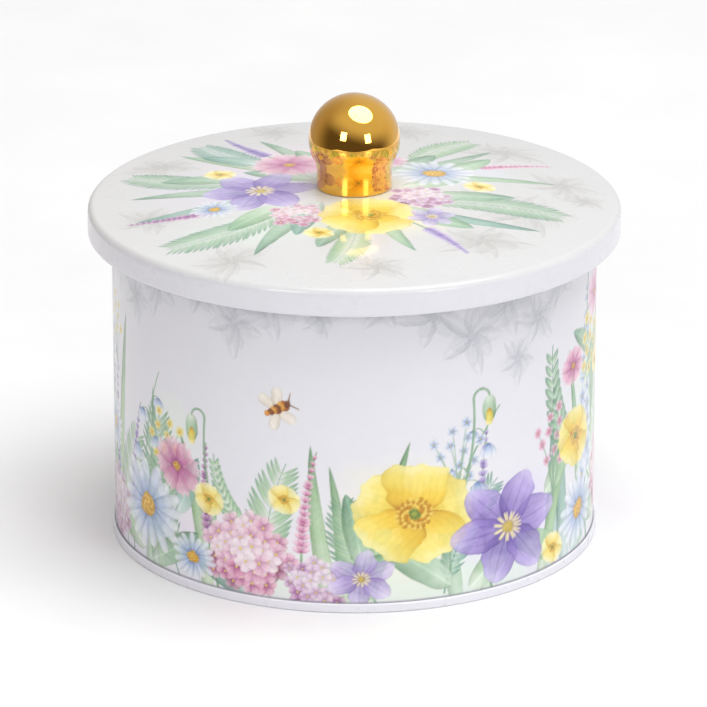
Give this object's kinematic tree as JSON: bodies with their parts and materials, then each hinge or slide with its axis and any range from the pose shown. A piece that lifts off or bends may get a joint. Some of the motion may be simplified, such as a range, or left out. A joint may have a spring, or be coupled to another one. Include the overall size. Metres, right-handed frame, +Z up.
{
  "type": "tea caddy",
  "caption": "Round tinplate tea caddy with a floral printed wall, an overhanging domed plug lid that lifts off, and a polished gold ball knob.",
  "frame": {"origin": "centre of the round base, on the plane that the caddy rests on", "axes": "+Z up along the axis of the caddy; the side seam of the wall is at +Y, behind"},
  "size_m": [0.1536, 0.1536, 0.1308],
  "materials": {
    "printed_tin": "semi-gloss printed tinplate, bare inside",
    "white_tin": "semi-gloss white enamel",
    "printed_lid": "semi-gloss printed tinplate, bare inside",
    "bare_tin": "bright tinplate",
    "gold": "mirror-polished gold plate",
    "zinc_steel": "zinc-plated"
  },
  "bodies": {
    "caddy": {"body_wall": "printed_tin", "base": "white_tin"},
    "lid": {"lid_shell": "printed_lid", "lid_plug_ring": "bare_tin", "knob": "gold", "knob_screw": "zinc_steel", "knob_washer": "zinc_steel"}
  },
  "joints": [
    {"name": "lid_lift", "type": "slide", "parent": "caddy", "child": "lid", "axis": [0, 0, 1], "range_m": [0, 0.06]}
  ]
}
